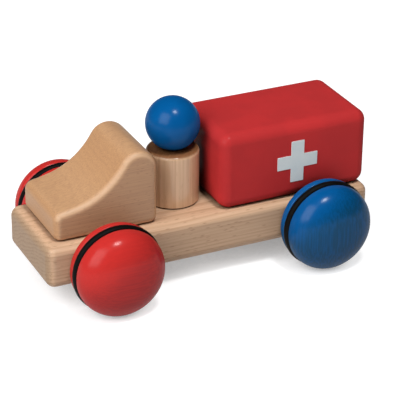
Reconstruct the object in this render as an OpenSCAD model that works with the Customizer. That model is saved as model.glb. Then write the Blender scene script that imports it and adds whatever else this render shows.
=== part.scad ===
// Wooden toy ambulance: a beech plank on four bun-shaped wheels with rubber ring tyres. It carries a scooped
// hood, a peg driver with a ball head, and a red box with a white cross on each side.
// Millimetres. +X is the front, +Y the left side, +Z up. The origin is on the ground under the middle.

/* [Chassis] */
// Width of the chassis plank
chassis_w = 59.5; // [52:0.5:70]
// Thickness of the chassis plank
chassis_t = 24; // [21:0.5:32]
// Rounding of the chassis edges
chassis_edge_r = 5; // [1:0.5:8]
// Bare deck in front of the hood
front_inset = 6.7; // [1:0.1:20]
// Bare deck behind the box
rear_inset = 1.1; // [0.1:0.1:20]

/* [Hood] */
// Length of the hood
hood_l = 59.5; // [52:0.5:75]
// Width of the hood
hood_w = 47.5; // [36:0.5:58]
// Height of the hood's crest above the deck
hood_h = 43.6; // [38:0.1:52]
// Radius of the crest along the rear of the hood
crest_r = 11; // [7:0.1:13]
// Radius of the hollow in front of the crest
scoop_r = 42; // [30:0.5:60]
// Height of the nose at the hood's front face
nose_h = 16.2; // [14:0.1:20]
// Fall of the nose towards the front, in degrees
nose_slope = 10.5; // [4:0.5:16]
// Radius of the nose's front edge
nose_r = 5.2; // [4.8:0.1:7]
// Rounding of the hood's other edges
hood_edge_r = 4.2; // [2:0.1:6]

/* [Box] */
// Length of the box
box_l = 90; // [75:0.5:110]
// Width of the box
box_w = 54.2; // [40:0.1:66]
// Height of the box
box_h = 44.4; // [36:0.1:60]
// Rounding of the box's edges
box_edge_r = 6.3; // [2:0.1:9]
// Length of the cross from end to end
cross_span = 24.5; // [15:0.5:30]
// Width of the cross's arms
cross_arm_w = 7.9; // [4:0.1:12]
// Thickness of the cross foil
cross_t = 0.3; // [0.2:0.1:1]
// Middle of the cross behind the middle of the box
cross_back = 1; // [0:0.1:15]

/* [Driver] */
// Diameter of the driver's body
peg_d = 29.4; // [24:0.1:34]
// Height of the driver's body
peg_h = 31; // [27:0.1:40]
// Rounding of the body's top edge
peg_edge_r = 2; // [0.5:0.1:4]
// Bevel of the body's bottom edge
peg_bevel = 0.6; // [0.2:0.1:2]
// Diameter of the driver's head
head_d = 30; // [26:0.5:36]
// Diameter of the flat on which the head is seated
head_flat_d = 8.8; // [8.5:0.1:14]
// Gap between the driver's body and the box
driver_gap_rear = 2.1; // [0.5:0.1:10]
// Gap between the driver's body and the hood
driver_gap_front = 4.2; // [0.5:0.1:10]

/* [Wheels] */
// Front axle behind the chassis's front end
front_overhang = 34.6; // [30:0.1:40]
// Rear axle ahead of the chassis's rear end
rear_overhang = 33.8; // [30:0.1:40]
// Axle centre below the deck
axle_drop = 12.2; // [9:0.1:14]
// Diameter of the axles
axle_d = 10; // [6:0.5:12]
// Depth to which an axle is glued into a wheel
axle_grip = 15; // [8:0.5:20]
// Diameter of a wheel
wheel_d = 49.4; // [44:0.1:56]
// Rounding of a wheel's inner edge
rim_edge_r = 3.7; // [1:0.1:4.5]
// Height of a wheel's dome over its rim
dome_h = 15.3; // [12:0.1:20]
// Fullness of the dome: 2 is an ellipse, more is boxier
dome_fullness = 2.15; // [2:0.05:3]
// Wood round the axle in a wheel's hub
hub_wall = 5; // [3:0.5:8]
// Height of the hub over a wheel's inner face
hub_h = 2; // [0.5:0.1:5]

/* [Tyres] */
// Thickness of a tyre's round section
tyre_section = 4.6; // [3:0.1:5]
// Height of a tyre over the wheel's rim
tyre_proud = 0.7; // [0.3:0.1:1.5]
// Middle of a tyre from the wheel's inner face
tyre_inset = 8.35; // [8:0.05:12]
// Rounding of the groove's edge towards the dome
groove_edge_r = 1.6; // [0.5:0.1:2.2]
// Rounding of the groove's edge towards the chassis
groove_inner_edge_r = 0.8; // [0.3:0.1:1]

/* [Pegs and dowels] */
// Diameter of the dowels under hood and box
dowel_d = 8; // [5:0.5:10]
// Length of a dowel in the chassis
dowel_in_chassis = 14; // [8:0.5:16]
// Length of a dowel in the hood or box
dowel_in_block = 10; // [6:0.5:11]
// Diameter of the dowel between body and head
neck_dowel_d = 8; // [4:0.5:8]
// Length of the neck dowel in the body
neck_in_body = 9; // [5:0.5:11]
// Length of the neck dowel in the head
neck_in_head = 10; // [5:0.5:15]
// Diameter of the driver's seat peg
seat_peg_d = 12; // [8:0.5:14]
// Length of the seat peg in the body
seat_peg_in_body = 12; // [8:0.5:14]
// Length of the seat peg in the chassis
seat_peg_in_chassis = 12; // [8:0.5:15]
// Bevel at the ends of pegs, dowels and axles
rod_bevel = 0.8; // [0.2:0.1:1.5]

/* [Clearances] */
// Radial gap round an axle in the chassis
axle_clearance = 0.2; // [0.1:0.05:0.5]
// Gap between a wheel's hub and the chassis
side_play = 0.8; // [0.4:0.1:2]
// Radial gap round the seat peg in its socket
socket_clearance = 0.25; // [0.1:0.05:0.5]
// Radial gap round the seat peg in the driver's body
turn_clearance = 0.1; // [0.05:0.05:0.3]
// Gap between the driver's body and the deck
seat_gap = 0.3; // [0.2:0.05:0.5]
// Glue gap round a dowel or an axle end
glue_gap = 0.05; // [0.02:0.01:0.1]
// Air at the bottom of a blind hole
hole_air = 0.5; // [0.2:0.1:1]
// Gap between a tyre and its groove
groove_gap = 0.05; // [0.02:0.01:0.1]

/* [Hidden] */
$fn = 96;

// Colours
beech = "#d9b48c";
beech_rod = "#e3c7a2";
red = "#c2272d";
blue = "#12599f";
white = "#dfe1e2";
black = "#1c1a19";

// Steps of the drawn curves
arc_steps = 10;
edge_steps = 6;
dome_steps = 24;
// Overlap of cutters past the faces that they cut
cut = 1;
// Least arc left on a block's flat sides at a rounded corner
corner_left = 0.3;
// Sides of the vehicle
LEFT = 1;
RIGHT = -1;

// Along the vehicle: the deck is as long as what stands on it
chassis_l = rear_inset + box_l + driver_gap_rear + peg_d + driver_gap_front + hood_l + front_inset;
rear_end = -chassis_l / 2;
front_end = chassis_l / 2;
box_rear = rear_end + rear_inset;
box_front = box_rear + box_l;
driver_x = box_front + driver_gap_rear + peg_d / 2;
hood_rear = driver_x + peg_d / 2 + driver_gap_front;
hood_front = hood_rear + hood_l;
front_axle_x = front_end - front_overhang;
rear_axle_x = rear_end + rear_overhang;

// Upwards
tyre_ring_r = wheel_d / 2 + tyre_proud - tyre_section / 2;
axle_z = wheel_d / 2 + tyre_proud;
deck = axle_z + axle_drop;
body_base = deck + seat_gap;
body_top = body_base + peg_h;
head_drop = sqrt(pow(head_d / 2, 2) - pow(head_flat_d / 2, 2));
head_z = body_top + head_drop;

// Across the vehicle
hub_face = chassis_w / 2 + side_play;
axle_l = 2 * (hub_face + axle_grip);
tyre_out = hub_h + tyre_inset;

// Each dowel stands midway between an axle and an end of its block
hood_dowel_front_x = (front_axle_x + hood_front) / 2;
hood_dowel_rear_x = (front_axle_x + hood_rear) / 2;
box_dowel_front_x = (rear_axle_x + box_front) / 2;
box_dowel_rear_x = (rear_axle_x + box_rear) / 2;
dowel_l = dowel_in_chassis + dowel_in_block;

// Hood's side view, from its rear face forwards and from the deck up. An arc is [centre, radius, first and last
// angle of its outward normal], and a hollow arc has a negative radius.
corner_r = hood_edge_r + corner_left;
nose_arc_r = max(nose_r, corner_r);
nose_normal = [sin(nose_slope), cos(nose_slope)];
nose_back = [-cos(nose_slope), sin(nose_slope)];
crest_c = [crest_r, hood_h - crest_r];
// The hollow's centre moves back along the nose until the hollow touches the crest
scoop_from = [hood_l, nose_h] + scoop_r * nose_normal - crest_c;
scoop_reach = scoop_from * nose_back;
scoop_back = -scoop_reach - sqrt(pow(scoop_reach, 2) - scoop_from * scoop_from + pow(crest_r + scoop_r, 2));
scoop_to = scoop_from + scoop_back * nose_back;
crest_turn = atan2(scoop_to[1], scoop_to[0]);
nose_c = [hood_l - nose_arc_r, nose_h - nose_arc_r * (1 - sin(nose_slope)) / cos(nose_slope)];
hood_arcs = [
    [[hood_l - corner_r, corner_r], corner_r, -90, 0],
    [nose_c, nose_arc_r, 0, 90 - nose_slope],
    [crest_c + scoop_to, -scoop_r, 90 - nose_slope, crest_turn],
    [crest_c, crest_r, crest_turn, 180],
    [[corner_r, corner_r], corner_r, 180, 270]
];

// Points of a quarter arc or any other stretch of a circle
function arc(centre, r, from, to) =
    [for (i = [0:arc_steps]) let (a = from + (to - from) * i / arc_steps) centre + r * [cos(a), sin(a)]];

// Outline of a slab's side view, drawn in by inset, at y across the vehicle
function slab_ring(arcs, inset, y) =
    [for (a = arcs) for (p = arc(a[0], a[1] - inset, a[2], a[3])) [p[0], y, p[1]]];

// [y, inset] of the rings from one side of a slab to the other, with rounded edges
function slab_rings(w, r) = [
    for (side = [-1, 1]) for (k = [0:edge_steps])
        let (a = 90 * (side < 0 ? edge_steps - k : k) / edge_steps)
        [side * (w / 2 - r + r * sin(a)), r * (1 - cos(a))]
];

// Solid with the side view given by arcs, w wide, with its two long outlines rounded by r
module rounded_slab(arcs, w, r) {
    rings = slab_rings(w, r);
    count = len(arcs) * (arc_steps + 1);
    last = (len(rings) - 1) * count;
    points = [for (ring = rings) each slab_ring(arcs, ring[1], ring[0])];
    sides = [
        for (j = [0:len(rings) - 2]) for (i = [0:count - 1])
            let (a = j * count + i, b = j * count + (i + 1) % count)
            each [[a, b, b + count], [a, b + count, a + count]]
    ];
    near_cap = [for (i = [0:count - 1]) count - 1 - i];
    far_cap = [for (i = [0:count - 1]) last + i];
    polyhedron(points, concat([near_cap], sides, [far_cap]));
}

// Side view of a block that is l long and h high, with corners of radius r, standing on z = 0
function block_arcs(l, h, r) = [
    [[l / 2 - r, r], r, -90, 0],
    [[l / 2 - r, h - r], r, 0, 90],
    [[r - l / 2, h - r], r, 90, 180],
    [[r - l / 2, r], r, 180, 270]
];

// Block with all edges rounded, standing on z = 0
module rounded_block(l, w, h, r) {
    rounded_slab(block_arcs(l, h, r + corner_left), w, r);
}

// Round rod standing on z = 0, with bevelled ends
module rod(d, l) {
    rotate_extrude() polygon([
        [0, 0], [d / 2 - rod_bevel, 0], [d / 2, rod_bevel], [d / 2, l - rod_bevel], [d / 2 - rod_bevel, l], [0, l]
    ]);
}

// Blind hole for a dowel, opening upwards at z = 0
module dowel_hole(d, depth, gap) {
    translate([0, 0, -depth - hole_air]) cylinder(d = d + 2 * gap, h = depth + hole_air + cut);
}

// Wheel with its hub face at z = 0 and its dome upwards
module wheel() {
    r = wheel_d / 2;
    bore_r = axle_d / 2 + glue_gap;
    hub_r = bore_r + hub_wall;
    groove_r = tyre_section / 2 + groove_gap;
    groove_in = tyre_out - groove_r;
    groove_out = tyre_out + groove_r;
    dome_base = groove_out + groove_edge_r;
    dome = [
        for (i = [1:dome_steps]) let (a = 90 * i / dome_steps)
            [r * pow(cos(a), 2 / dome_fullness), dome_base + dome_h * pow(sin(a), 2 / dome_fullness)]
    ];
    rotate_extrude() polygon(concat(
        [[bore_r, 0], [hub_r, 0], [hub_r, hub_h]],
        arc([r - rim_edge_r, hub_h + rim_edge_r], rim_edge_r, -90, 0),
        arc([r - groove_inner_edge_r, groove_in - groove_inner_edge_r], groove_inner_edge_r, 0, 90),
        arc([tyre_ring_r, tyre_out], groove_r / cos(90 / arc_steps), -90, -270),
        arc([r - groove_edge_r, dome_base], groove_edge_r, -90, 0),
        dome,
        [[0, axle_grip + hole_air], [bore_r, axle_grip + hole_air]]
    ));
}

// Tyre at its place on a wheel: a ring of round section
module tyre() {
    translate([0, 0, tyre_out]) rotate_extrude() translate([tyre_ring_r, 0]) circle(d = tyre_section);
}

// Carries a wheel or tyre from its own axis to the end of an axle
module on_axle(x, side) {
    translate([x, side * hub_face, axle_z]) rotate([-90 * side, 0, 0]) children();
}

// Axle lying across the vehicle
module axle(x) {
    translate([x, -axle_l / 2, axle_z]) rotate([-90, 0, 0]) rod(axle_d, axle_l);
}

// Dowel between the chassis and the block above it
module block_dowel(x) {
    translate([x, 0, deck - dowel_in_chassis]) rod(dowel_d, dowel_l);
}

// Holes in the underside of a hood or box for its two dowels
module block_holes(front_x, rear_x) {
    for (x = [front_x, rear_x]) {
        translate([x, 0, deck]) mirror([0, 0, 1]) dowel_hole(dowel_d, dowel_in_block, glue_gap);
    }
}

// White cross on a side of the box
module cross(side) {
    translate([(box_rear + box_front) / 2 - cross_back, side * box_w / 2, deck + box_h / 2])
        rotate([-90 * side, 0, 0]) linear_extrude(cross_t) {
            square([cross_span, cross_arm_w], center = true);
            square([cross_arm_w, cross_span], center = true);
        }
}

module chassis() {
    color(beech) difference() {
        translate([0, 0, deck - chassis_t]) rounded_block(chassis_l, chassis_w, chassis_t, chassis_edge_r);
        for (x = [front_axle_x, rear_axle_x]) {
            translate([x, 0, axle_z]) rotate([90, 0, 0])
                cylinder(d = axle_d + 2 * axle_clearance, h = chassis_w + 2 * cut, center = true);
        }
        for (x = [hood_dowel_front_x, hood_dowel_rear_x, box_dowel_front_x, box_dowel_rear_x]) {
            translate([x, 0, deck]) dowel_hole(dowel_d, dowel_in_chassis, glue_gap);
        }
        translate([driver_x, 0, deck]) dowel_hole(seat_peg_d, seat_peg_in_chassis, socket_clearance);
    }
}

module hood() {
    color(beech) difference() {
        translate([hood_rear, 0, deck]) rounded_slab(hood_arcs, hood_w, hood_edge_r);
        block_holes(hood_dowel_front_x, hood_dowel_rear_x);
    }
}

module hood_dowel_front() {
    color(beech_rod) block_dowel(hood_dowel_front_x);
}

module hood_dowel_rear() {
    color(beech_rod) block_dowel(hood_dowel_rear_x);
}

module ambulance_box() {
    color(red) difference() {
        translate([(box_rear + box_front) / 2, 0, deck]) rounded_block(box_l, box_w, box_h, box_edge_r);
        block_holes(box_dowel_front_x, box_dowel_rear_x);
    }
}

module box_dowel_front() {
    color(beech_rod) block_dowel(box_dowel_front_x);
}

module box_dowel_rear() {
    color(beech_rod) block_dowel(box_dowel_rear_x);
}

module cross_left() {
    color(white) cross(LEFT);
}

module cross_right() {
    color(white) cross(RIGHT);
}

module driver_body() {
    color(beech) difference() {
        translate([driver_x, 0, body_base]) rotate_extrude() polygon(concat(
            [[0, 0], [peg_d / 2 - peg_bevel, 0], [peg_d / 2, peg_bevel]],
            arc([peg_d / 2 - peg_edge_r, peg_h - peg_edge_r], peg_edge_r, 0, 90),
            [[0, peg_h]]
        ));
        translate([driver_x, 0, body_top]) dowel_hole(neck_dowel_d, neck_in_body, glue_gap);
        translate([driver_x, 0, body_base]) mirror([0, 0, 1])
            dowel_hole(seat_peg_d, seat_peg_in_body - seat_gap, turn_clearance);
    }
}

module driver_head() {
    color(blue) difference() {
        translate([driver_x, 0, head_z]) sphere(d = head_d);
        translate([driver_x, 0, body_top - head_d / 2]) cube(head_d, center = true);
        translate([driver_x, 0, body_top]) mirror([0, 0, 1]) dowel_hole(neck_dowel_d, neck_in_head, glue_gap);
    }
}

module neck_dowel() {
    color(beech_rod) translate([driver_x, 0, body_top - neck_in_body])
        rod(neck_dowel_d, neck_in_body + neck_in_head);
}

module seat_peg() {
    color(beech_rod) translate([driver_x, 0, deck - seat_peg_in_chassis])
        rod(seat_peg_d, seat_peg_in_chassis + seat_peg_in_body);
}

module front_axle() {
    color(beech_rod) axle(front_axle_x);
}

module rear_axle() {
    color(beech_rod) axle(rear_axle_x);
}

module front_left_wheel() {
    color(red) on_axle(front_axle_x, LEFT) wheel();
}

module front_right_wheel() {
    color(red) on_axle(front_axle_x, RIGHT) wheel();
}

module rear_left_wheel() {
    color(blue) on_axle(rear_axle_x, LEFT) wheel();
}

module rear_right_wheel() {
    color(blue) on_axle(rear_axle_x, RIGHT) wheel();
}

module front_left_tyre() {
    color(black) on_axle(front_axle_x, LEFT) tyre();
}

module front_right_tyre() {
    color(black) on_axle(front_axle_x, RIGHT) tyre();
}

module rear_left_tyre() {
    color(black) on_axle(rear_axle_x, LEFT) tyre();
}

module rear_right_tyre() {
    color(black) on_axle(rear_axle_x, RIGHT) tyre();
}

chassis();
hood();
hood_dowel_front();
hood_dowel_rear();
ambulance_box();
box_dowel_front();
box_dowel_rear();
cross_left();
cross_right();
driver_body();
driver_head();
neck_dowel();
seat_peg();
front_axle();
rear_axle();
front_left_wheel();
front_right_wheel();
rear_left_wheel();
rear_right_wheel();
front_left_tyre();
front_right_tyre();
rear_left_tyre();
rear_right_tyre();
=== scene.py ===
"""Looks of a wooden toy ambulance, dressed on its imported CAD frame.

A beech plank rolls on four turned wheels with rubber rings. It carries a scooped hood, a peg driver with a
ball head, and a red box with a white cross on each side. Sizes are in millimetres in this file and in metres
in Blender. +X is the front, +Y the left side and +Z up.
"""

from __future__ import annotations

import logging
import math
from dataclasses import dataclass, replace
from enum import Enum

import bmesh
import bpy
from mathutils import Matrix, Vector


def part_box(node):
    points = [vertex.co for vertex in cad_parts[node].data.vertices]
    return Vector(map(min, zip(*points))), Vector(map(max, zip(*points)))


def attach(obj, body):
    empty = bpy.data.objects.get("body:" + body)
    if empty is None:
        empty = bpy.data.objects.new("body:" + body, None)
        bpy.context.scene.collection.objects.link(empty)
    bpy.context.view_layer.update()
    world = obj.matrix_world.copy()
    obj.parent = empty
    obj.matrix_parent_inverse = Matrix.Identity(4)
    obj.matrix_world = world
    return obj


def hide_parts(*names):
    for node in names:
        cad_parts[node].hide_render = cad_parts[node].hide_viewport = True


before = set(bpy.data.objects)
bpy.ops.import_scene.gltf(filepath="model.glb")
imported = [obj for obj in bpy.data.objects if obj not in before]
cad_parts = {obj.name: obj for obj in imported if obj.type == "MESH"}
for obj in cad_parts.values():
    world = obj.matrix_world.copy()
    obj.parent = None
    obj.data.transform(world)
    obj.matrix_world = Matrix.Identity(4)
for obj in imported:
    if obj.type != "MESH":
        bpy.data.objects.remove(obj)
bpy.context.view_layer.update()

log = logging.getLogger("toy_ambulance")

MM = 0.001
# Blender's wave texture turns this many radians for one unit of its scaled coordinate
WAVE_RADIANS = 20.0
# Output of a noise texture between its few darkest and its few brightest spots
NOISE_SPAN = {"From Min": 0.35, "From Max": 0.65}
# Setting of a map range node that eases in and out
EASED = {"interpolation_type": "SMOOTHSTEP"}
# Places of the two colours and of the mixed one among the sockets of Blender's mix node
UNDER, OVER, MIXED = 6, 7, 2
# Openness at which the painted corner shade is darkest, and the rays that measure it
CORNER_SHUT, CORNER_RAYS = 0.05, 8
# Height of the fine relief of fibres, pores and orange peel
RELIEF = 0.1
# Direction in the toy's frame towards which the wheels are painted darker: painted shade away from the lamps
SHADED_SIDE = (-0.55, 0.0, -0.83)
# Steps round a turned piece and round a drilled hole
TURN_STEPS, HOLE_STEPS = 128, 64
# Points of a profile that are closer than this are one point
SAME_POINT = 1e-4

Point = tuple[float, float]
Triple = tuple[float, float, float]
Colour = tuple[float, float, float, float]
Tree = bpy.types.NodeTree
Socket = bpy.types.NodeSocket


class Grain(Enum):
    """Axis of the toy along which the fibres of a piece of wood run, as a turn that lays that axis on X."""

    LENGTHWISE = (0.0, 0.0, 0.0)
    CROSSWISE = (0.0, 0.0, -90.0)
    UPRIGHT = (0.0, 90.0, 0.0)

    def radians(self) -> Triple:
        """Gives the turn in radians."""
        return tuple(math.radians(angle) for angle in self.value)


class Side(Enum):
    """Side of the toy, as the sign of its Y."""

    LEFT = 1
    RIGHT = -1


def linear(hex_colour: str) -> Colour:
    """Turns an sRGB hex colour into Blender's linear colour.

    Args:
        hex_colour: Colour such as "#d2a477".

    Returns:
        Linear red, green, blue and an alpha of 1.
    """
    parts = [int(hex_colour[i : i + 2], 16) / 255 for i in (1, 3, 5)]
    return (*(v / 12.92 if v <= 0.04045 else ((v + 0.055) / 1.055) ** 2.4 for v in parts), 1.0)


def add_node(
    tree: Tree, kind: str, inputs: dict[int | str, object], output: int | str = 0, **settings: object
) -> Socket | None:
    """Adds a node with its settings, and fills or links its inputs.

    Args:
        tree: Node tree that takes the node.
        kind: Blender's type name of the node.
        inputs: Value, or output socket to link, for each input by name or place.
        output: Name or place of the output that is wanted.
        settings: Attributes of the node.

    Returns:
        The wanted output socket, or None from a node without outputs.
    """
    made = tree.nodes.new(kind)
    for name, value in settings.items():
        setattr(made, name, value)
    for key, value in inputs.items():
        if isinstance(value, Socket):
            tree.links.new(value, made.inputs[key])
        else:
            made.inputs[key].default_value = value
    return made.outputs[output] if made.outputs else None


def new_material(name: str) -> tuple[bpy.types.Material, Tree]:
    """Makes an empty node material.

    Args:
        name: Name of the material.

    Returns:
        The material and its node tree.
    """
    material = bpy.data.materials.new(name)
    material.use_nodes = True
    material.node_tree.nodes.clear()
    return material, material.node_tree


def grain_coordinates(tree: Tree, grain: Grain, offset: Triple = (0.0, 0.0, 0.0)) -> Socket:
    """Gives a piece's own coordinates in millimetres, with the fibres along X.

    Args:
        tree: Node tree of the material.
        grain: Axis along which the fibres run.
        offset: Shift after the turn, which puts the pith on the X axis.

    Returns:
        The coordinates' output socket.
    """
    own = add_node(tree, "ShaderNodeTexCoord", {}, "Object")
    turn = {"Location": offset, "Rotation": grain.radians(), "Scale": (1 / MM,) * 3}
    return add_node(tree, "ShaderNodeMapping", {"Vector": own, **turn})


def grain_marks(tree: Tree, grain: Socket, length: float, width: float) -> Socket:
    """Gives coordinates in which a mark along the grain, such as a fibre, is one unit long and wide.

    Args:
        tree: Node tree of the material.
        grain: Coordinates in millimetres, with the fibres along X.
        length: Length of the mark along the fibres.
        width: Width of the mark across them.

    Returns:
        The coordinates' output socket.
    """
    scale = (1 / length, 1 / width, 1 / width)
    return add_node(tree, "ShaderNodeVectorMath", {0: grain, 1: scale}, operation="MULTIPLY")


def corner_shade(tree: Tree, reach: float, depth: float, clear: float) -> Socket:
    """Gives the painted shade in a tight corner between two pieces, or on the floor close under the toy.

    Args:
        tree: Node tree of the material.
        reach: Distance within which another surface makes a corner.
        depth: Darkness deep in the corner, from 0 to 1.
        clear: Openness, from 0 shut to 1 free, from which on nothing is darker.

    Returns:
        The darkness's output socket, 0 in the open.
    """
    # Ambient occlusion sets how much painted shade a corner gets
    near = add_node(tree, "ShaderNodeAmbientOcclusion", {"Distance": reach * MM}, "AO", samples=CORNER_RAYS)
    span = {"From Min": CORNER_SHUT, "From Max": clear, "To Min": depth, "To Max": 0.0}
    return add_node(tree, "ShaderNodeMapRange", {"Value": near, **span}, **EASED)


@dataclass(frozen=True, kw_only=True)
class Lacquered:
    """A lacquered surface. All its gloss comes from the lacquer's coat, so the ground under it is matt."""

    name: str
    slot: str
    ior: float = 1.5
    specular: float = 0.0
    coat: float
    coat_roughness: float
    relief_strength: float

    def surface(self, tree: Tree, colour: Socket, roughness: Socket | float, relief: Socket) -> None:
        """Ends a material with its relief, its shader and its output.

        Args:
            tree: Node tree of the material.
            colour: Colour of the ground.
            roughness: Roughness of the ground, even or as it varies.
            relief: Height of the fine relief, from 0 to 1.
        """
        raised = {"Height": relief, "Strength": self.relief_strength, "Distance": RELIEF * MM}
        shader = add_node(
            tree,
            "ShaderNodeBsdfPrincipled",
            {
                "Base Color": colour,
                "Roughness": roughness,
                "Normal": add_node(tree, "ShaderNodeBump", raised),
                "IOR": self.ior,
                "Specular IOR Level": self.specular,
                "Coat Weight": self.coat,
                "Coat Roughness": self.coat_roughness,
            },
        )
        add_node(tree, "ShaderNodeOutputMaterial", {"Surface": shader})


@dataclass(frozen=True, kw_only=True)
class Beech(Lacquered):
    """Beech, planed, sanded or turned, under clear satin lacquer.

    The eye sees pale tan wood with faint growth rings, fibres and short brown ray flecks along the grain.
    The rings show as arcs on the end grain, which is greyer. Long rounded edges that face upwards are
    painted paler as a painted sheen, the flat sides are tinted darker as painted shade, and tight corners
    are darkened with painted shade. The lacquer gives a broad soft sheen. Real fibres are far finer than a
    pixel, so they are drawn about a millimetre wide to show. The flecks have nearly their real size.
    """

    wood: str
    late_wood: str
    fleck: str
    end_wood: str
    grain: Grain
    pith: Triple
    # Tint that paints the flat sides darker: painted shade
    side_shade: str = "#ffffff"
    # Paler colour and strength of the painted sheen on the long rounded edges that face upwards
    edge_sheen: str = "#dcb896"
    edge_sheen_strength: float = 0.0
    # Cosines between an axis of the grain and the surface's normal, where each cut starts and is full
    end_cut: Point = (0.35, 0.95)
    side_cut: Point = (0.84, 1.0)
    edge_cut: Point = (0.25, 0.88)
    level_cut: Point = (0.0, 0.25)
    ring_spacing: float = 3.6
    ring_strength: float = 0.55
    ring_wander: float = 5.0
    ring_run: float = 12.5
    early_share: float = 0.35
    years_alike: float = 2.0
    faintest_year: float = 0.3
    fibre_width: float = 0.7
    fibre_length: float = 30.0
    fibre_strength: float = 0.45
    fibre_span: Point = (0.3, 0.7)
    fleck_length: float = 2.6
    fleck_width: float = 0.5
    fleck_strength: float = 0.5
    fleck_fill: float = 0.36
    fleck_rim: Point = (0.1, 0.26)
    # Colour, reach, depth and openness of the painted shade in tight corners
    corner: str = "#6b432a"
    corner_reach: float = 6.0
    corner_depth: float = 0.9
    corner_clear: float = 0.5
    roughness: Point = (0.40, 0.52)
    relief_strength: float = 0.12
    coat: float = 0.4
    coat_roughness: float = 0.32

    def material(self) -> bpy.types.Material:
        """Builds the wood's node material.

        Returns:
            The material.
        """
        material, tree = new_material(self.name)
        grain = grain_coordinates(tree, self.grain, self.pith)
        fibre_space = grain_marks(tree, grain, self.fibre_length, self.fibre_width)
        fibres = add_node(
            tree,
            "ShaderNodeTexNoise",
            {"Vector": fibre_space, "Scale": 1.0, "Detail": 3.0, "Roughness": 0.6},
        )
        pale, dark = self.fibre_span
        fibre_shade = add_node(
            tree,
            "ShaderNodeMapRange",
            {"Value": fibres, "From Min": pale, "From Max": dark, "To Max": self.fibre_strength},
        )
        # Mask of the flat sides, which are painted darker as shade
        side = self.cut(tree, "Y", self.side_cut)
        # Painted shade in tight corners between pieces
        corners = corner_shade(tree, self.corner_reach, self.corner_depth, self.corner_clear)
        layers = (
            (self.late_rings(tree, grain), self.late_wood, "MIX"),
            (fibre_shade, self.late_wood, "MIX"),
            (self.flecks(tree, grain), self.fleck, "MIX"),
            # Painted sheen on the long rounded edges
            (self.painted_edge_sheen(tree, side), self.edge_sheen, "MIX"),
            (self.cut(tree, "X", self.end_cut), self.end_wood, "MULTIPLY"),
            # Painted shade on the flat sides
            (side, self.side_shade, "MULTIPLY"),
            # Painted shade in tight corners
            (corners, self.corner, "MIX"),
        )
        colour = linear(self.wood)
        for share, tint, blend in layers:
            colours = {"Factor": share, UNDER: colour, OVER: linear(tint)}
            colour = add_node(tree, "ShaderNodeMix", colours, MIXED, data_type="RGBA", blend_type=blend)
        smooth, rough = self.roughness
        dullness = add_node(tree, "ShaderNodeMapRange", {"Value": fibres, "To Min": smooth, "To Max": rough})
        self.surface(tree, colour, dullness, fibres)
        return material

    def late_rings(self, tree: Tree, grain: Socket) -> Socket:
        """Gives how much the dark late wood of the growth rings shows.

        Args:
            tree: Node tree of the material.
            grain: Coordinates in millimetres, with the pith on the X axis.

        Returns:
            The share's output socket.
        """
        # Rings wander slowly along the fibres, so their coordinates are pressed together there
        pressed = grain_marks(tree, grain, self.ring_run, 1.0)
        rings = add_node(
            tree,
            "ShaderNodeTexWave",
            {
                "Vector": pressed,
                "Scale": math.tau / WAVE_RADIANS / self.ring_spacing,
                "Distortion": self.ring_wander,
                "Detail": 2.0,
                "Detail Scale": 0.7,
            },
            "Fac",
            wave_type="RINGS",
            rings_direction="X",
            wave_profile="SAW",
        )
        span = {"From Min": self.early_share, "To Max": self.ring_strength}
        late = add_node(tree, "ShaderNodeMapRange", {"Value": rings, **span}, **EASED)
        # Some years' rings are fainter than others
        scale = 1 / self.years_alike / self.ring_spacing
        years = add_node(tree, "ShaderNodeTexNoise", {"Vector": pressed, "Scale": scale, "Detail": 1.0})
        span = {**NOISE_SPAN, "To Min": self.faintest_year}
        fading = add_node(tree, "ShaderNodeMapRange", {"Value": years, **span})
        return add_node(tree, "ShaderNodeMath", {0: late, 1: fading}, operation="MULTIPLY")

    def flecks(self, tree: Tree, grain: Socket) -> Socket:
        """Gives how much the ray flecks show.

        Args:
            tree: Node tree of the material.
            grain: Coordinates in millimetres, with the fibres along X.

        Returns:
            The share's output socket.
        """
        # A fleck fills about a third of its cell's width
        length, width = self.fleck_length / self.fleck_fill, self.fleck_width / self.fleck_fill
        fleck_space = grain_marks(tree, grain, length, width)
        cells = add_node(tree, "ShaderNodeTexVoronoi", {"Vector": fleck_space, "Scale": 1.0})
        dark, clear = self.fleck_rim
        span = {"From Min": dark, "From Max": clear, "To Min": self.fleck_strength, "To Max": 0.0}
        return add_node(tree, "ShaderNodeMapRange", {"Value": cells, **span}, **EASED)

    def painted_edge_sheen(self, tree: Tree, side: Socket) -> Socket:
        """Gives the painted sheen: how much paler the long rounded edges are. Upright edges stay as they are.

        Args:
            tree: Node tree of the material.
            side: Factor that is 1 on the flat sides.

        Returns:
            The share's output socket.
        """
        rounded = self.cut(tree, "Y", self.edge_cut)
        paler = add_node(tree, "ShaderNodeMath", {0: rounded, 1: side}, operation="SUBTRACT")
        for factor in (self.cut(tree, "Z", self.level_cut), self.edge_sheen_strength):
            paler = add_node(tree, "ShaderNodeMath", {0: paler, 1: factor}, operation="MULTIPLY")
        return paler

    def cut(self, tree: Tree, axis: str, span: Point) -> Socket:
        """Gives 1 where the wood is cut square to an axis of its grain, and 0 where it is cut along it.

        Args:
            tree: Node tree of the material.
            axis: X for the end grain, Y or Z for the two cuts along the fibres.
            span: Cosines between axis and surface normal at which the factor leaves 0 and reaches 1.

        Returns:
            The factor's output socket.
        """
        own = add_node(tree, "ShaderNodeTexCoord", {}, "Normal")
        turned = add_node(tree, "ShaderNodeMapping", {"Vector": own, "Rotation": self.grain.radians()})
        along = add_node(tree, "ShaderNodeSeparateXYZ", {"Vector": turned}, axis)
        size = add_node(tree, "ShaderNodeMath", {0: along}, operation="ABSOLUTE")
        limits = {"From Min": span[0], "From Max": span[1]}
        return add_node(tree, "ShaderNodeMapRange", {"Value": size, **limits}, **EASED)


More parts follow.
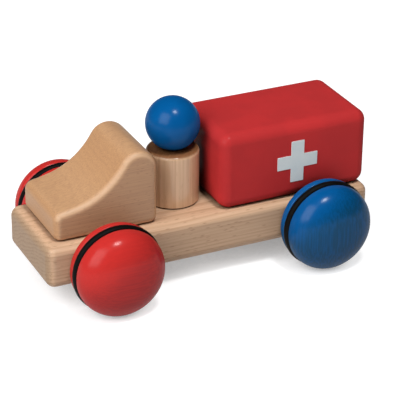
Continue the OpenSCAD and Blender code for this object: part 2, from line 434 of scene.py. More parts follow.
@dataclass(frozen=True, kw_only=True)
class StainedWood(Lacquered):
    """Turned beech, stained through and coated with clear gloss lacquer.

    The eye sees one strong colour with darker streaks along the grain, and small bright highlights. The
    side that faces away from the lamps is painted darker, a painted shade, with stronger streaks there.
    Real streaks and pores are finer than a pixel, so they are drawn about a millimetre wide to show.
    """

    stain: str
    streak: str
    grain: Grain
    # Start, width, depth and wander of the painted shade on the side away from the lamps
    shade_start: float
    shade_width: float = 14.0
    shade_darkening: float = 0.5
    shade_wander: float = 9.0
    wander_size: float = 16.0
    streak_width: float = 0.9
    streak_length: float = 90.0
    streak_strength: Point = (0.08, 0.32)
    pore_width: float = 0.5
    pore_length: float = 9.0
    roughness: float = 0.35
    relief_strength: float = 0.08
    coat: float = 0.32
    coat_roughness: float = 0.22

    def material(self) -> bpy.types.Material:
        """Builds the stained wood's node material.

        Returns:
            The material.
        """
        material, tree = new_material(self.name)
        grain = grain_coordinates(tree, self.grain)
        streak_space = grain_marks(tree, grain, self.streak_length, self.streak_width)
        streaks = add_node(
            tree,
            "ShaderNodeTexNoise",
            {"Vector": streak_space, "Scale": 1.0, "Detail": 1.0, "Distortion": 0.1},
        )
        taken = add_node(tree, "ShaderNodeMapRange", {"Value": streaks, **NOISE_SPAN}, **EASED)
        # Painted shade on the side away from the lamps, which also makes the streaks stronger there
        shaded = self.shaded_side(tree)
        least, most = self.streak_strength
        strength = add_node(tree, "ShaderNodeMapRange", {"Value": shaded, "To Min": least, "To Max": most})
        shade_share = add_node(tree, "ShaderNodeMath", {0: shaded, 1: self.shade_darkening}, operation="MULTIPLY")
        streaks_and_shade = add_node(tree, "ShaderNodeMath", {0: taken, 1: strength, 2: shade_share}, operation="MULTIPLY_ADD")
        colours = {"Factor": streaks_and_shade, UNDER: linear(self.stain), OVER: linear(self.streak)}
        colour = add_node(tree, "ShaderNodeMix", colours, MIXED, data_type="RGBA")
        pore_space = grain_marks(tree, grain, self.pore_length, self.pore_width)
        pores = add_node(tree, "ShaderNodeTexNoise", {"Vector": pore_space, "Scale": 1.0, "Detail": 1.0})
        self.surface(tree, colour, self.roughness, pores)
        return material

    def shaded_side(self, tree: Tree) -> Socket:
        """Gives 1 on the side painted darker as shade, away from the lamps, and 0 on the other.

        Args:
            tree: Node tree of the material.

        Returns:
            The factor's output socket.
        """
        own = grain_coordinates(tree, Grain.LENGTHWISE)
        depth = add_node(
            tree, "ShaderNodeVectorMath", {0: own, 1: SHADED_SIDE}, "Value", operation="DOT_PRODUCT"
        )
        scale = 1 / self.wander_size
        wander = add_node(tree, "ShaderNodeTexNoise", {"Vector": own, "Scale": scale, "Detail": 1.0})
        edge = add_node(
            tree, "ShaderNodeMath", {0: wander, 1: self.shade_wander, 2: depth}, operation="MULTIPLY_ADD"
        )
        span = {"From Min": self.shade_start, "From Max": self.shade_start + self.shade_width}
        return add_node(tree, "ShaderNodeMapRange", {"Value": edge, **span}, **EASED)


@dataclass(frozen=True, kw_only=True)
class Enamel(Lacquered):
    """Opaque lacquer, sprayed on sanded wood, or a foil of the same evenness.

    The eye sees an even colour with a slight cloudiness, tight corners darkened nearly to black by painted
    shade, and highlights that the fine orange peel breaks up a little.
    """

    paint: str
    cloud: str
    cloud_size: float = 18.0
    peel_size: float = 1.2
    # Colour, reach, depth and openness of the painted shade in tight corners
    corner: str = "#120605"
    corner_reach: float = 9.0
    corner_depth: float = 0.92
    corner_clear: float = 0.5
    roughness: float = 0.35
    relief_strength: float = 0.04
    coat: float = 0.25
    coat_roughness: float = 0.3

    def material(self) -> bpy.types.Material:
        """Builds the lacquer's node material.

        Returns:
            The material.
        """
        material, tree = new_material(self.name)
        own = grain_coordinates(tree, Grain.LENGTHWISE)
        scale = 1 / self.cloud_size
        clouds = add_node(tree, "ShaderNodeTexNoise", {"Vector": own, "Scale": scale, "Detail": 3.0})
        cloudy = add_node(tree, "ShaderNodeMapRange", {"Value": clouds, **NOISE_SPAN}, **EASED)
        # Painted shade in tight corners
        corners = corner_shade(tree, self.corner_reach, self.corner_depth, self.corner_clear)
        colour = linear(self.paint)
        for share, tint in ((cloudy, self.cloud), (corners, self.corner)):
            colours = {"Factor": share, UNDER: colour, OVER: linear(tint)}
            colour = add_node(tree, "ShaderNodeMix", colours, MIXED, data_type="RGBA")
        scale = 1 / self.peel_size
        peel = add_node(tree, "ShaderNodeTexNoise", {"Vector": own, "Scale": scale, "Detail": 1.0})
        self.surface(tree, colour, self.roughness, peel)
        return material


@dataclass(frozen=True, kw_only=True)
class Rubber:
    """Black rubber, moulded as a round ring.

    The eye sees near-black with a dull grey sheen where it faces the light, and a faint bloom of paler dust.
    """

    name: str
    slot: str
    rubber: str
    bloom: str
    bloom_size: float = 5.0
    roughness: Point = (0.42, 0.58)
    ior: float = 1.52
    specular: float = 0.06

    def material(self) -> bpy.types.Material:
        """Builds the rubber's node material.

        Returns:
            The material.
        """
        material, tree = new_material(self.name)
        own = grain_coordinates(tree, Grain.LENGTHWISE)
        scale = 1 / self.bloom_size
        dust = add_node(tree, "ShaderNodeTexNoise", {"Vector": own, "Scale": scale, "Detail": 4.0})
        colours = {"Factor": dust, UNDER: linear(self.rubber), OVER: linear(self.bloom)}
        smooth, rough = self.roughness
        dullness = add_node(tree, "ShaderNodeMapRange", {"Value": dust, "To Min": smooth, "To Max": rough})
        shader = add_node(
            tree,
            "ShaderNodeBsdfPrincipled",
            {
                "Base Color": add_node(tree, "ShaderNodeMix", colours, MIXED, data_type="RGBA"),
                "Roughness": dullness,
                "IOR": self.ior,
                "Specular IOR Level": self.specular,
            },
        )
        add_node(tree, "ShaderNodeOutputMaterial", {"Surface": shader})
        return material


CHASSIS_BEECH = Beech(
    name="beech_planed_satin_lacquer",
    slot="chassis_beech",
    wood="#dbb797",
    late_wood="#b89070",
    fleck="#94694a",
    end_wood="#d0d1ce",
    # Painted shade on the plank's flat sides
    side_shade="#eff0f1",
    grain=Grain.LENGTHWISE,
    pith=(0.0, -67.0, 141.0),
    ring_spacing=2.1,
    ring_strength=0.7,
)
HOOD_BEECH = Beech(
    name="beech_sanded_satin_lacquer",
    slot="hood_beech",
    wood="#d0a378",
    late_wood="#b08463",
    fleck="#966646",
    end_wood="#f6efe4",
    # Painted sheen along the hood's long rounded edges
    edge_sheen_strength=0.55,
    # Painted shade on the hood's flat sides
    side_shade="#e8e8ef",
    grain=Grain.LENGTHWISE,
    pith=(0.0, 12.0, 160.0),
    ring_spacing=2.6,
    ring_strength=0.25,
    fibre_strength=0.6,
    fleck_length=1.6,
    fleck_width=0.35,
    coat=1.0,
    coat_roughness=0.48,
)
DRIVER_BEECH = Beech(
    name="beech_turned_satin_lacquer",
    slot="driver_beech",
    wood="#dfbc98",
    late_wood="#b98a68",
    fleck="#b08a6b",
    # Darker end grain on the body's top: partly the end grain's own tone, partly painted shade under the head
    end_wood="#ac9078",
    grain=Grain.UPRIGHT,
    pith=(0.0, 9.0, 40.0),
    ring_strength=0.4,
    fibre_width=1.3,
    fibre_length=60.0,
    fibre_strength=0.6,
    fleck_strength=0.25,
    # Near-black painted shade where the head sits on the body
    corner="#38210f",
    coat=1.0,
    coat_roughness=0.16,
)
ROD_BEECH = Beech(
    name="beech_rod_bare",
    slot="rod_beech",
    wood="#e3c7a2",
    late_wood="#cfae85",
    fleck="#b48a63",
    end_wood="#e6dccb",
    grain=Grain.UPRIGHT,
    pith=(0.0, 12.0, 30.0),
    roughness=(0.55, 0.7),
    coat=0.0,
)
AXLE_BEECH = replace(ROD_BEECH, name="beech_axle_rod_bare", grain=Grain.CROSSWISE)
RED_STAIN = StainedWood(
    name="beech_turned_red_stain_gloss",
    slot="red_stain",
    stain="#c8302c",
    streak="#9c282a",
    grain=Grain.LENGTHWISE,
    # Painted shade on the side away from the lamps
    shade_start=-67.0,
    shade_width=20.0,
    shade_darkening=0.4,
    streak_strength=(0.1, 0.3),
)
BLUE_STAIN = StainedWood(
    name="beech_turned_blue_stain_gloss",
    slot="blue_stain",
    stain="#045594",
    streak="#063f5a",
    grain=Grain.UPRIGHT,
    # Painted shade on the side away from the lamps
    shade_start=-3.0,
)
RED_ENAMEL = Enamel(
    name="red_enamel_satin_on_wood",
    slot="red_lacquer",
    paint="#c13435",
    cloud="#ba3334",
    # A long reach paints the driver's shade onto the box's front
    corner_reach=14.0,
    corner_clear=0.62,
    coat=0.1,
    coat_roughness=0.28,
)
BLUE_ENAMEL = Enamel(
    name="blue_enamel_gloss_on_wood",
    slot="blue_lacquer",
    paint="#045897",
    cloud="#045390",
    coat_roughness=0.22,
)
WHITE_FOIL = Enamel(
    name="white_foil_matt",
    slot="white_foil",
    paint="#dbe2e3",
    cloud="#d6dfe1",
    cloud_size=6.0,
    relief_strength=0.02,
    corner_depth=0.0,
    roughness=0.5,
    coat=0.0,
)
TYRE_RUBBER = Rubber(name="rubber_moulded_black", slot="tyre_rubber", rubber="#080807", bloom="#100f0e")

Finish = Beech | StainedWood | Enamel | Rubber


def dress(piece: bpy.types.Object, finish: Finish) -> None:
    """Gives a piece its finish, made at the first use.

    Args:
        piece: Object to dress.
        finish: Finish that it takes.
    """
    material = bpy.data.materials.get(finish.name) or finish.material()
    piece.data.materials.clear()
    piece.data.materials.append(material)


def dress_rods(nodes: tuple[str, ...], finish: Finish) -> None:
    """Gives CAD rods, whose shape stays, their wood.

    Args:
        nodes: Names of the CAD nodes.
        finish: Finish that they take.
    """
    for node in nodes:
        dress(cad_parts[node], finish)
        log.info("rod %s: CAD shape, %s", node, finish.name)


def add_object(name: str, data: bpy.types.ID) -> bpy.types.Object:
    """Puts a new object into the scene.

    Args:
        name: Name of the object.
        data: Its mesh, lamp or camera.

    Returns:
        The object.
    """
    made = bpy.data.objects.new(name, data)
    bpy.context.scene.collection.objects.link(made)
    return made


@dataclass(frozen=True)
class Arc:
    """Stretch of a circle in a side view. A hollow arc has a negative radius."""

    centre: Point
    radius: float
    first: float
    last: float

    def points(self, steps: int, inset: float = 0.0) -> list[Point]:
        """Lists points along the arc.

        Args:
            steps: Number of steps from end to end.
            inset: Distance by which the arc is drawn in.

        Returns:
            The points, ends included.
        """
        r = self.radius - inset
        angles = [math.radians(self.first + (self.last - self.first) * i / steps) for i in range(steps + 1)]
        return [(self.centre[0] + r * math.cos(a), self.centre[1] + r * math.sin(a)) for a in angles]


@dataclass(frozen=True)
class Hole:
    """Round hole to be cut: a cylinder from one end to the other."""

    start: Triple
    end: Triple
    diameter: float


@dataclass(frozen=True)
class Piece:
    """A piece of the toy: its name, the CAD node that it stands for, the body that it rides and its finish.

    An edge stays sharp where its faces meet at more than the crease, in degrees.
    """

    name: str
    node: str
    body: str
    finish: Finish
    crease: float = 35.0

    def place(self, mesh: bpy.types.Mesh) -> bpy.types.Object:
        """Puts the piece's mesh into the scene in place of its CAD node.

        Args:
            mesh: Mesh in the toy's frame, in metres.

        Returns:
            The piece's object.
        """
        mesh.name = self.name
        mesh.shade_smooth()
        mesh.set_sharp_from_angle(angle=math.radians(self.crease))
        made = add_object(self.name, mesh)
        dress(made, self.finish)
        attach(made, self.body)
        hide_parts(self.node)
        count = len(mesh.polygons)
        log.info("piece %s: %d faces, stands for %s, %s", self.name, count, self.node, self.finish.name)
        return made


def mesh_from(bm: bmesh.types.BMesh) -> bpy.types.Mesh:
    """Turns a bmesh into a mesh with outward faces, and frees it.

    Args:
        bm: Closed surface in the toy's frame.

    Returns:
        The mesh.
    """
    bmesh.ops.recalc_face_normals(bm, faces=bm.faces)
    mesh = bpy.data.meshes.new("mesh")
    bm.to_mesh(mesh)
    bm.free()
    return mesh


def lofted_mesh(outlines: list[list[Triple]]) -> bpy.types.Mesh:
    """Joins outlines of as many points each into a closed surface, with a face over each end.

    Args:
        outlines: Points of each outline in millimetres, from one end to the other.

    Returns:
        The mesh, in metres.
    """
    bm = bmesh.new()
    rings = [[bm.verts.new([c * MM for c in point]) for point in outline] for outline in outlines]
    count = len(rings[0])
    for near, far in zip(rings, rings[1:]):
        for i in range(count):
            j = (i + 1) % count
            bm.faces.new((near[i], near[j], far[j], far[i]))
    bm.faces.new(rings[0])
    bm.faces.new(rings[-1])
    return mesh_from(bm)


def slab_mesh(arcs: list[Arc], at: Point, width: float, edge: float, steps: int) -> bpy.types.Mesh:
    """Builds a solid with the side view that the arcs give, and with its two long outlines rounded.

    Args:
        arcs: Arcs of the side view, in order round the outline.
        at: X and Z of the side view's origin.
        width: Width across the toy.
        edge: Radius of the rounding.
        steps: Steps of each arc and of the rounding.

    Returns:
        The mesh, in metres.
    """
    outlines = []
    for side in (-1, 1):
        for step in range(steps + 1):
            angle = math.radians(90 * (steps - step if side < 0 else step) / steps)
            y = side * (width / 2 - edge + edge * math.sin(angle))
            outline = [p for arc in arcs for p in arc.points(steps, edge * (1 - math.cos(angle)))]
            outlines.append([(at[0] + x, y, at[1] + z) for x, z in outline])
    return lofted_mesh(outlines)


def lathe_mesh(profile: list[Point], place: Matrix, closed: bool = False) -> bpy.types.Mesh:
    """Turns a profile about its own axis.

    Args:
        profile: Radius and height of each point. A radius of 0 is a pole.
        place: Matrix that carries the turned shape, with its axis along Z, to its place in metres.
        closed: Whether the profile's end joins its start.

    Returns:
        The mesh, in metres.
    """
    bm = bmesh.new()
    turns = [math.tau * i / TURN_STEPS for i in range(TURN_STEPS)]
    rings = []
    for r, h in profile:
        if r == 0:
            points = [Vector((0, 0, h * MM))]
        else:
            points = [Vector((r * math.cos(t), r * math.sin(t), h)) * MM for t in turns]
        rings.append([bm.verts.new(place @ point) for point in points])
    pairs = list(zip(rings, rings[1:])) + ([(rings[-1], rings[0])] if closed else [])
    for near, far in pairs:
        for i in range(TURN_STEPS):
            j = (i + 1) % TURN_STEPS
            corners = [near[i % len(near)], near[j % len(near)], far[j % len(far)], far[i % len(far)]]
            bm.faces.new(list(dict.fromkeys(corners)))
    return mesh_from(bm)


def cut_holes(mesh: bpy.types.Mesh, holes: list[Hole]) -> bpy.types.Mesh:
    """Cuts round holes into a mesh.

    Args:
        mesh: Closed mesh in metres. It is used up.
        holes: Holes to cut.

    Returns:
        A new mesh with the holes.
    """
    bm = bmesh.new()
    for hole in holes:
        start, end = Vector(hole.start) * MM, Vector(hole.end) * MM
        turn = (end - start).to_track_quat("Z", "Y").to_matrix().to_4x4()
        bmesh.ops.create_cone(
            bm,
            cap_ends=True,
            segments=HOLE_STEPS,
            radius1=hole.diameter / 2 * MM,
            radius2=hole.diameter / 2 * MM,
            depth=(end - start).length,
            matrix=Matrix.Translation((start + end) / 2) @ turn,
        )
    solid = add_object("cut", mesh)
    cutter = add_object("cut", mesh_from(bm))
    boolean = solid.modifiers.new("holes", "BOOLEAN")
    boolean.operation, boolean.solver, boolean.object = "DIFFERENCE", "EXACT", cutter
    shown = solid.evaluated_get(bpy.context.evaluated_depsgraph_get())
    made = bpy.data.meshes.new_from_object(shown)
    for used in (solid, cutter):
        data = used.data
        bpy.data.objects.remove(used)
        bpy.data.meshes.remove(data)
    return made


def box_mm(node: str) -> tuple[Vector, Vector]:
    """Gives a CAD node's lowest and highest corner in millimetres."""
    low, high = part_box(node)
    return low / MM, high / MM


def middle(node: str) -> Vector:
    """Gives the middle of a CAD node's box in millimetres."""
    low, high = box_mm(node)
    return (low + high) / 2


def block_mesh(node: str, corner: float, edge: float, steps: int) -> bpy.types.Mesh:
    """Builds a block with round corners and edges that fills a CAD node's box.

    Args:
        node: Name of the CAD node.
        corner: Radius of its four corners in the side view.
        edge: Radius of its two long outlines.
        steps: Steps of each rounding.

    Returns:
        The mesh, in metres.
    """
    low, high = box_mm(node)
    size = high - low
    x, top = size.x / 2 - corner, size.z - corner
    centres = ((x, corner), (x, top), (-x, top), (-x, corner))
    arcs = [Arc(centre, corner, 90 * i - 90, 90 * i) for i, centre in enumerate(centres)]
    return slab_mesh(arcs, ((low.x + high.x) / 2, low.z), size.y, edge, steps)


def rod_hole(node: str, gap: float, air: float) -> Hole:
    """Gives the upright blind hole that holds one of the CAD rods.

    Args:
        node: Name of the rod.
        gap: Radial gap round the rod.
        air: Free depth past both of its ends.

    Returns:
        The hole, which runs past both ends of the rod.
    """
    low, high = box_mm(node)
    x, y, _ = middle(node)
    return Hole((x, y, low.z - air), (x, y, high.z + air), high.x - low.x + 2 * gap)


@dataclass
class Chassis:
    """The beech plank, with its axle bores, dowel holes and the driver's socket."""

    edge: float = 5.0
    corner: float = 5.3
    steps: int = 14
    glue_gap: float = 0.05
    socket_gap: float = 0.25
    axle_gap: float = 0.2
    hole_air: float = 0.5
    dowels: tuple[str, ...] = ("hood_dowel_front", "hood_dowel_rear", "box_dowel_front", "box_dowel_rear")

    def holes(self) -> list[Hole]:
        """Lists the plank's holes.

        Returns:
            The dowels' holes, the driver's socket and the axles' bores.
        """
        found = [rod_hole(node, self.glue_gap, self.hole_air) for node in self.dowels]
        found.append(rod_hole("seat_peg", self.socket_gap, self.hole_air))
        for node in ("front_axle", "rear_axle"):
            low, high = box_mm(node)
            x, _, z = middle(node)
            found.append(Hole((x, low.y, z), (x, high.y, z), high.x - low.x + 2 * self.axle_gap))
        return found

    def build(self) -> list[bpy.types.Object]:
        """Builds and dresses the plank and its dowels.

        Returns:
            The plank.
        """
        dress_rods(self.dowels, ROD_BEECH)
        mesh = cut_holes(block_mesh("chassis", self.corner, self.edge, self.steps), self.holes())
        return [Piece("plank", "chassis", "chassis", CHASSIS_BEECH).place(mesh)]


@dataclass
class Hood:
    """The beech hood with its crest, its hollow and its sloping nose."""

    crest: float = 11.0
    scoop: float = 42.0
    nose_height: float = 16.2
    nose_slope: float = 10.5
    nose: float = 5.2
    edge: float = 4.2
    corner: float = 4.5
    steps: int = 14
    glue_gap: float = 0.05
    hole_air: float = 0.5

    def outline(self, length: float, height: float) -> list[Arc]:
        """Draws the side view from the rear face forwards and from the deck up.

        Args:
            length: Length of the hood.
            height: Height of its crest.

        Returns:
            Its arcs: front foot, nose, hollow, crest and rear foot.
        """
        slope = math.radians(self.nose_slope)
        normal = Vector((math.sin(slope), math.cos(slope)))
        back = Vector((-math.cos(slope), math.sin(slope)))
        crest = Vector((self.crest, height - self.crest))
        # The hollow's centre moves back along the nose until the hollow touches the crest
        start = Vector((length, self.nose_height)) + self.scoop * normal - crest
        reach = start.dot(back)
        travel = -reach - math.sqrt(reach**2 - start.length_squared + (self.crest + self.scoop) ** 2)
        hollow = start + travel * back
        turn = math.degrees(math.atan2(hollow.y, hollow.x))
        nose_z = self.nose_height - self.nose * (1 - math.sin(slope)) / math.cos(slope)
        return [
            Arc((length - self.corner, self.corner), self.corner, -90, 0),
            Arc((length - self.nose, nose_z), self.nose, 0, 90 - self.nose_slope),
            Arc(tuple(crest + hollow), -self.scoop, 90 - self.nose_slope, turn),
            Arc(tuple(crest), self.crest, turn, 180),
            Arc((self.corner, self.corner), self.corner, 180, 270),
        ]

    def build(self) -> list[bpy.types.Object]:
        """Builds and dresses the hood.

        Returns:
            The hood.
        """
        low, high = box_mm("hood")
        size = high - low
        mesh = slab_mesh(self.outline(size.x, size.z), (low.x, low.z), size.y, self.edge, self.steps)
        holes = [rod_hole(n, self.glue_gap, self.hole_air) for n in ("hood_dowel_front", "hood_dowel_rear")]
        return [Piece("hood_block", "hood", "chassis", HOOD_BEECH).place(cut_holes(mesh, holes))]


@dataclass
class AmbulanceBox:
    """The red box and its two white crosses."""

    edge: float = 6.3
    corner: float = 6.6
    steps: int = 14
    glue_gap: float = 0.05
    hole_air: float = 0.5
    arm: float = 7.9
    arm_corner: float = 0.3
    arm_corner_steps: int = 3
    foil_bevel: float = 0.06

    def box(self) -> bpy.types.Object:
        """Builds and dresses the box.

        Returns:
            The box.
        """
        mesh = block_mesh("ambulance_box", self.corner, self.edge, self.steps)
        holes = [rod_hole(n, self.glue_gap, self.hole_air) for n in ("box_dowel_front", "box_dowel_rear")]
        return Piece("red_box", "ambulance_box", "chassis", RED_ENAMEL).place(cut_holes(mesh, holes))

    def cross(self, side: Side) -> bpy.types.Object:
        """Builds and dresses the foil cross on one side.

        Args:
            side: Side of the box.

        Returns:
            The cross's object.
        """
        name = f"cross_{side.name.lower()}"
        low, high = box_mm(name)
        centre = middle(name)
        arm = self.arm_end((high.x - low.x) / 2)
        outline = []
        for quarter in range(4):
            turn = quarter * math.pi / 2
            c, s = round(math.cos(turn)), round(math.sin(turn))
            outline += [(c * x - s * z, s * x + c * z) for x, z in arm]
        inner, outer = (low.y, high.y) if side is Side.LEFT else (high.y, low.y)
        levels = ((inner, 0.0), (outer - side.value * self.foil_bevel, 0.0), (outer, self.foil_bevel))
        outlines = []
        for y, inset in levels:
            shrunk = [(x - math.copysign(inset, x), z - math.copysign(inset, z)) for x, z in outline]
            outlines.append([(centre.x + x, y, centre.z + z) for x, z in shrunk])
        return Piece(f"white_{name}", name, "chassis", WHITE_FOIL).place(lofted_mesh(outlines))

    def arm_end(self, reach: float) -> list[Point]:
        """Draws one arm of the cross, towards +X: the inner corner and the two rounded outer ones.

        Args:
            reach: Distance from the middle to the arm's end.

        Returns:
            Points of the corners, in order.
        """
        half, corner = self.arm / 2, self.arm_corner
        lower = Arc((reach - corner, corner - half), corner, -90, 0).points(self.arm_corner_steps)
        upper = Arc((reach - corner, half - corner), corner, 0, 90).points(self.arm_corner_steps)
        return [(half, -half), *lower, *upper]

    def build(self) -> list[bpy.types.Object]:
        """Builds and dresses the box and its crosses."""
        return [self.box(), *(self.cross(side) for side in Side)]


@dataclass
class Driver:
    """The peg driver: a turned body and a ball head."""

    top_edge: float = 2.0
    bottom_bevel: float = 0.6
    glue_gap: float = 0.05
    turn_gap: float = 0.1
    hole_air: float = 0.5
    edge_steps: int = 10
    ball_steps: int = 64

    def body(self) -> bpy.types.Object:
        """Builds and dresses the turned body, with its two bores.

        Returns:
            The body.
        """
        low, high = box_mm("driver_body")
        peg_low, peg_high = box_mm("seat_peg")
        neck_low, neck_high = box_mm("neck_dowel")
        r, height = (high.x - low.x) / 2, high.z - low.z
        seat_r = (peg_high.x - peg_low.x) / 2 + self.turn_gap
        neck_r = (neck_high.x - neck_low.x) / 2 + self.glue_gap
        seat_end = peg_high.z - low.z + self.hole_air
        neck_end = neck_low.z - low.z - self.hole_air
        bevel = self.bottom_bevel
        top = Arc((r - self.top_edge, height - self.top_edge), self.top_edge, 0, 90).points(self.edge_steps)
        profile = [(0, seat_end), (seat_r, seat_end), (seat_r, 0), (r - bevel, 0), (r, bevel)]
        profile += [*top, (neck_r, height), (neck_r, neck_end), (0, neck_end)]
        place = Matrix.Translation(Vector((*middle("driver_body").xy, low.z)) * MM)
        return Piece("driver_peg", "driver_body", "driver", DRIVER_BEECH).place(lathe_mesh(profile, place))

    def head(self) -> bpy.types.Object:
        """Builds and dresses the ball head, with its flat and its bore.

        Returns:
            The head.
        """
        low, high = box_mm("driver_head")
        neck_low, neck_high = box_mm("neck_dowel")
        r = (high.x - low.x) / 2
        drop = high.z - low.z - r
        neck_r = (neck_high.x - neck_low.x) / 2 + self.glue_gap
        neck_end = neck_high.z - low.z + self.hole_air
        first = -math.degrees(math.asin(drop / r))
        ball = Arc((0, drop), r, first, 90).points(self.ball_steps)
        profile = [(0, neck_end), (neck_r, neck_end), (neck_r, 0), *ball[:-1], (0, drop + r)]
        place = Matrix.Translation(Vector((*middle("driver_head").xy, low.z)) * MM)
        piece = Piece("driver_ball_head", "driver_head", "driver", BLUE_ENAMEL)
        return piece.place(lathe_mesh(profile, place))

    def build(self) -> list[bpy.types.Object]:
        """Builds and dresses the driver."""
        dress_rods(("neck_dowel", "seat_peg"), ROD_BEECH)
        return [self.body(), self.head()]


@dataclass
class WheelPair:
    """An axle with a turned wheel and a rubber ring on each end."""

    end: str
    stain: StainedWood
    hub_wall: float = 5.0
    hub_height: float = 2.0
    rim_edge: float = 3.7
    groove_gap: float = 0.05
    groove_inner_edge: float = 0.8
    groove_edge: float = 1.6
    dome_height: float = 15.3
    dome_fullness: float = 2.15
    glue_gap: float = 0.05
    hole_air: float = 0.5
    arc_steps: int = 10
    dome_steps: int = 56
    ring_steps: int = 32

    def label(self, side: Side, kind: str) -> str:
        """Names a piece or a CAD node on one side of the pair."""
        return f"{self.end}_{side.name.lower()}_{kind}"

    def piece(self, side: Side, kind: str, node: str, finish: Finish) -> Piece:
        """Describes a piece on one side of the pair, which stands for a CAD node and turns with the axle."""
        return Piece(self.label(side, kind), self.label(side, node), f"{self.end}_wheels", finish)

    def hub_face(self, side: Side) -> float:
        """Gives the distance of a wheel's hub face from the middle of the toy."""
        low, high = box_mm(self.label(side, "wheel"))
        return low.y if side is Side.LEFT else -high.y

    def place(self, side: Side) -> Matrix:
        """Gives the matrix that carries a turned shape from its own axis to the hub face of a wheel.

        Args:
            side: Side of the toy.

        Returns:
            The matrix, in metres.
        """
        centre = middle(self.label(side, "wheel"))
        turn = Matrix.Rotation(math.radians(-90 * side.value), 4, "X")
        face = Vector((centre.x, side.value * self.hub_face(side), centre.z))
        return Matrix.Translation(face * MM) @ turn

    def ring(self, side: Side) -> Arc:
        """Gives the round section of a rubber ring.

        Args:
            side: Side of the toy.

        Returns:
            The section, whose centre is given from the axle and from the wheel's hub face.
        """
        tyre = self.label(side, "tyre")
        low, high = box_mm(tyre)
        section = (high.y - low.y) / 2
        from_face = abs(middle(tyre).y) - self.hub_face(side)
        return Arc(((high.z - low.z) / 2 - section, from_face), section, 0, 360)

    def wheel(self, side: Side) -> bpy.types.Object:
        """Builds and dresses a wheel: hub, rounded rim, tyre groove and dome.

        Args:
            side: Side of the toy.

        Returns:
            The wheel's object.
        """
        low, high = box_mm(self.label(side, "wheel"))
        axle_low, axle_high = box_mm(f"{self.end}_axle")
        r = (high.z - low.z) / 2
        bore_r = (axle_high.z - axle_low.z) / 2 + self.glue_gap
        bore_end = axle_high.y - self.hub_face(side) + self.hole_air
        hub_r = bore_r + self.hub_wall
        ring = self.ring(side)
        ring_h = ring.centre[1]
        groove_r = ring.radius + self.groove_gap
        rim = Arc((r - self.rim_edge, self.hub_height + self.rim_edge), self.rim_edge, -90, 0)
        lip_r = self.groove_inner_edge
        lip = Arc((r - lip_r, ring_h - groove_r - lip_r), lip_r, 0, 90)
        groove = Arc(ring.centre, groove_r, -90, -270)
        base = ring_h + groove_r + self.groove_edge
        shoulder = Arc((r - self.groove_edge, base), self.groove_edge, -90, 0)
        power = 2 / self.dome_fullness
        angles = [math.pi / 2 * i / self.dome_steps for i in range(1, self.dome_steps)]
        dome = [(r * math.cos(a) ** power, base + self.dome_height * math.sin(a) ** power) for a in angles]
        profile = [(0, bore_end), (bore_r, bore_end), (bore_r, 0), (hub_r, 0), (hub_r, self.hub_height)]
        for arc in (rim, lip, groove, shoulder):
            profile += arc.points(self.arc_steps)
        profile += [*dome, (0, base + self.dome_height)]
        steps = zip(profile, profile[1:])
        distinct = profile[:1] + [point for before, point in steps if math.dist(point, before) > SAME_POINT]
        piece = self.piece(side, "turned_wheel", "wheel", self.stain)
        return piece.place(lathe_mesh(distinct, self.place(side)))

    def tyre(self, side: Side) -> bpy.types.Object:
        """Builds and dresses a rubber ring.

        Args:
            side: Side of the toy.

        Returns:
            The ring's object.
        """
        profile = self.ring(side).points(self.ring_steps)[:-1]
        piece = self.piece(side, "rubber_ring", "tyre", TYRE_RUBBER)
        return piece.place(lathe_mesh(profile, self.place(side), closed=True))

    def build(self) -> list[bpy.types.Object]:
        """Builds and dresses the pair."""
        dress_rods((f"{self.end}_axle",), AXLE_BEECH)
        return [make(side) for side in Side for make in (self.wheel, self.tyre)]


@dataclass(frozen=True)
class Lamp:
    """Square soft lamp: its direction and distance from the toy, its side, and its power in watts."""

    name: str
    towards: Triple
    distance: float
    size: float
    power: float

    def hang(self, height: float) -> None:
        """Hangs the lamp, so that it looks at the toy.

        Args:
            height: Height above the floor of the point that it looks at.
        """
        data = bpy.data.lights.new(self.name, "AREA")
        data.shape, data.size, data.energy = "SQUARE", self.size * MM, self.power
        made = add_object(self.name, data)
        away = Vector(self.towards).normalized()
        made.location = away * self.distance * MM + Vector((0, 0, height * MM))
        made.rotation_mode = "QUATERNION"
        made.rotation_quaternion = away.to_track_quat("Z", "Y")


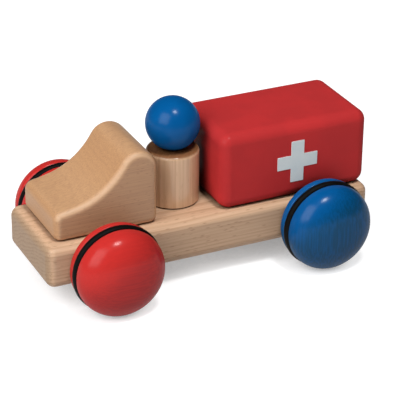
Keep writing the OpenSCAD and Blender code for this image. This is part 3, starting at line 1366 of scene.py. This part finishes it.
@dataclass
class Studio:
    """Pale floor, soft studio lamps and the camera at the photograph's angle."""

    camera_at: Triple = (388.1, 819.4, 500.1)
    yaw: float = 25.661
    pitch: float = 27.212
    roll: float = 0.650
    lens: float = 165.22
    sensor: float = 36.0
    nearest: float = 50.0
    farthest: float = 100000.0
    floor_radius: float = 12000.0
    floor_steps: int = 96
    floor_paper: str = "#bfbfc0"
    floor_glow: float = 0.76
    # Reach, depth and openness of the painted contact shadow
    contact_reach: float = 48.0
    contact_depth: float = 0.7
    contact_open: float = 0.36
    world_low: float = 0.32
    world_high: float = 0.03
    world_band: float = 0.45
    lamp_aim: float = 45.0
    lamps: tuple[Lamp, ...] = (
        Lamp("overhead_lamp", (0.0, 0.36, 0.93), 1800.0, 300.0, 18.0),
        Lamp("front_softbox", (0.745, 0.31, 0.59), 2400.0, 1800.0, 47.0),
    )

    def camera(self) -> None:
        """Sets the camera at the photograph's angle."""
        yaw, pitch, roll = (math.radians(a) for a in (self.yaw, self.pitch, self.roll))
        back = Vector((math.sin(yaw) * math.cos(pitch), math.cos(yaw) * math.cos(pitch), math.sin(pitch)))
        right = (-back).cross(Vector((0, 0, 1))).normalized()
        up = back.cross(right)
        turned_right = math.cos(roll) * right + math.sin(roll) * up
        turned_up = math.cos(roll) * up - math.sin(roll) * right
        data = bpy.data.cameras.new("camera")
        data.lens, data.sensor_width = self.lens, self.sensor
        data.clip_start, data.clip_end = self.nearest * MM, self.farthest * MM
        made = add_object("camera", data)
        turn = Matrix((turned_right, turned_up, back)).transposed().to_4x4()
        made.matrix_world = Matrix.Translation(Vector(self.camera_at) * MM) @ turn
        bpy.context.scene.camera = made

    def floor(self) -> None:
        """Lays a pale paper floor that shows the object's shadow and glows to the camera up to white."""
        bm = bmesh.new()
        bmesh.ops.create_circle(bm, cap_ends=True, segments=self.floor_steps, radius=self.floor_radius * MM)
        mesh = bpy.data.meshes.new("floor")
        bm.to_mesh(mesh)
        bm.free()
        add_object("floor", mesh)
        material, tree = new_material("paper_white_matt")
        paper = add_node(tree, "ShaderNodeBsdfDiffuse", {"Color": linear(self.floor_paper)})
        seen = add_node(tree, "ShaderNodeLightPath", {}, "Is Camera Ray")
        for kind in ("Is Glossy Ray", "Is Transmission Ray"):
            ray = add_node(tree, "ShaderNodeLightPath", {}, kind)
            seen = add_node(tree, "ShaderNodeMath", {0: seen, 1: ray}, operation="MAXIMUM")
        # Painted contact shadow: the floor's glow is darkened close under the toy
        contact_shadow = corner_shade(tree, self.contact_reach, self.contact_depth, self.contact_open)
        level = add_node(tree, "ShaderNodeMath", {0: 1.0, 1: contact_shadow}, operation="SUBTRACT")
        for factor in (self.floor_glow, seen):
            level = add_node(tree, "ShaderNodeMath", {0: level, 1: factor}, operation="MULTIPLY")
        glow = add_node(tree, "ShaderNodeEmission", {"Strength": level})
        both = add_node(tree, "ShaderNodeAddShader", {0: paper, 1: glow})
        add_node(tree, "ShaderNodeOutputMaterial", {"Surface": both})
        mesh.materials.append(material)

    def walls(self) -> None:
        """Lights the room dimly: its walls are brightest where they meet the floor, and dark high up."""
        world = bpy.data.worlds.new("studio")
        world.use_nodes = True
        tree = world.node_tree
        tree.nodes.clear()
        own = add_node(tree, "ShaderNodeTexCoord", {}, "Generated")
        rise = add_node(tree, "ShaderNodeSeparateXYZ", {"Vector": own}, "Z")
        span = {"From Max": self.world_band, "To Min": self.world_low, "To Max": self.world_high}
        level = add_node(tree, "ShaderNodeMapRange", {"Value": rise, **span}, **EASED)
        room = add_node(tree, "ShaderNodeBackground", {"Strength": level})
        add_node(tree, "ShaderNodeOutputWorld", {"Surface": room})
        bpy.context.scene.world = world

    def build(self) -> None:
        """Builds the studio."""
        bpy.context.scene.view_settings.view_transform = "Standard"
        self.walls()
        self.camera()
        self.floor()
        for lamp in self.lamps:
            lamp.hang(self.lamp_aim)
        log.info("studio: floor, %d lamps and the camera", len(self.lamps))


def main() -> None:
    """Builds the toy and its studio."""
    logging.basicConfig(level=logging.INFO, format="%(name)s: %(message)s")
    Studio().build()
    assemblies = (
        Chassis(),
        Hood(),
        AmbulanceBox(),
        Driver(),
        WheelPair("front", RED_STAIN),
        WheelPair("rear", BLUE_STAIN),
    )
    for assembly in assemblies:
        made = assembly.build()
        log.info("%s: %d pieces", type(assembly).__name__, len(made))


if __name__ == "__main__":
    main()
